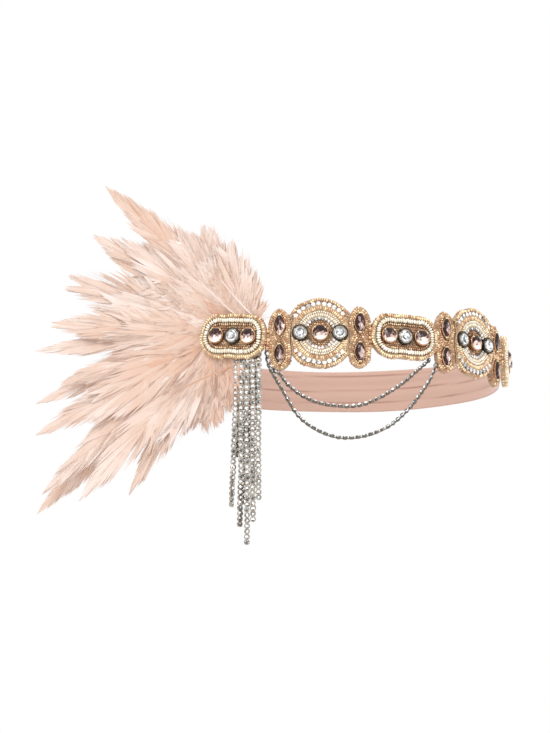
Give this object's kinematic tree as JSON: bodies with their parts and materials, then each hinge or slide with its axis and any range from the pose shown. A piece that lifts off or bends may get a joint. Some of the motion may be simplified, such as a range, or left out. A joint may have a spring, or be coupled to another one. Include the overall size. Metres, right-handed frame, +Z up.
{
  "type": "flapper feather headband",
  "caption": "Beaded headband of oval, round and paired-stone ornaments with an elastic back, a feather fan, a stone-chain tassel and two chain swags.",
  "frame": {"origin": "middle of the ring that fits the head, level with the middle of the ornaments and the elastic", "axes": "+Z up along the wearer's height, X along the head's length with the feather fan at -X, -Y the side of the head that the run of ornaments covers"},
  "size_m": [0.2786, 0.1636, 0.2113],
  "materials": {
    "gold_beadwork": "antique light gold glass and metal seed beads sewn close",
    "cream_piping": "champagne bugle beads laid across a cord",
    "rose_stone": "cut rose-champagne stone, foil backed, in a gold cup",
    "clear_stone": "cut clear stone, foil backed, in a dark gunmetal cup",
    "silver_chain": "silver cup chain set with clear stones",
    "elastic": "dusty rose gathered velvet elastic",
    "feather": "soft blush feathers, fluffy at the root and pointed at the tip"
  },
  "bodies": {
    "root": {"oval_left_beadwork": "gold_beadwork", "oval_left_piping": "cream_piping", "oval_left_stone_1": "rose_stone", "oval_left_stone_2": "clear_stone", "oval_left_stone_3": "rose_stone", "column_1_beadwork": "gold_beadwork", "column_1_stone_upper": "rose_stone", "column_1_stone_lower": "rose_stone", "round_left_beadwork": "gold_beadwork", "round_left_stone_1": "clear_stone", "round_left_stone_2": "rose_stone", "round_left_stone_3": "clear_stone", "column_2_beadwork": "gold_beadwork", "column_2_stone_upper": "rose_stone", "column_2_stone_lower": "rose_stone", "oval_middle_beadwork": "gold_beadwork", "oval_middle_piping": "cream_piping", "oval_middle_stone_1": "rose_stone", "oval_middle_stone_2": "clear_stone", "oval_middle_stone_3": "rose_stone", "column_3_beadwork": "gold_beadwork", "column_3_stone_upper": "rose_stone", "column_3_stone_lower": "rose_stone", "round_right_beadwork": "gold_beadwork", "round_right_stone_1": "clear_stone", "round_right_stone_2": "rose_stone", "round_right_stone_3": "clear_stone", "column_4_beadwork": "gold_beadwork", "column_4_stone_upper": "rose_stone", "column_4_stone_lower": "rose_stone", "oval_right_beadwork": "gold_beadwork", "oval_right_piping": "cream_piping", "oval_right_stone_1": "rose_stone", "oval_right_stone_2": "clear_stone", "oval_right_stone_3": "rose_stone", "elastic_band": "elastic", "feather_plume": "feather", "chain_tassel": "silver_chain", "chain_swag_upper": "silver_chain", "chain_swag_lower": "silver_chain"}
  },
  "joints": []
}
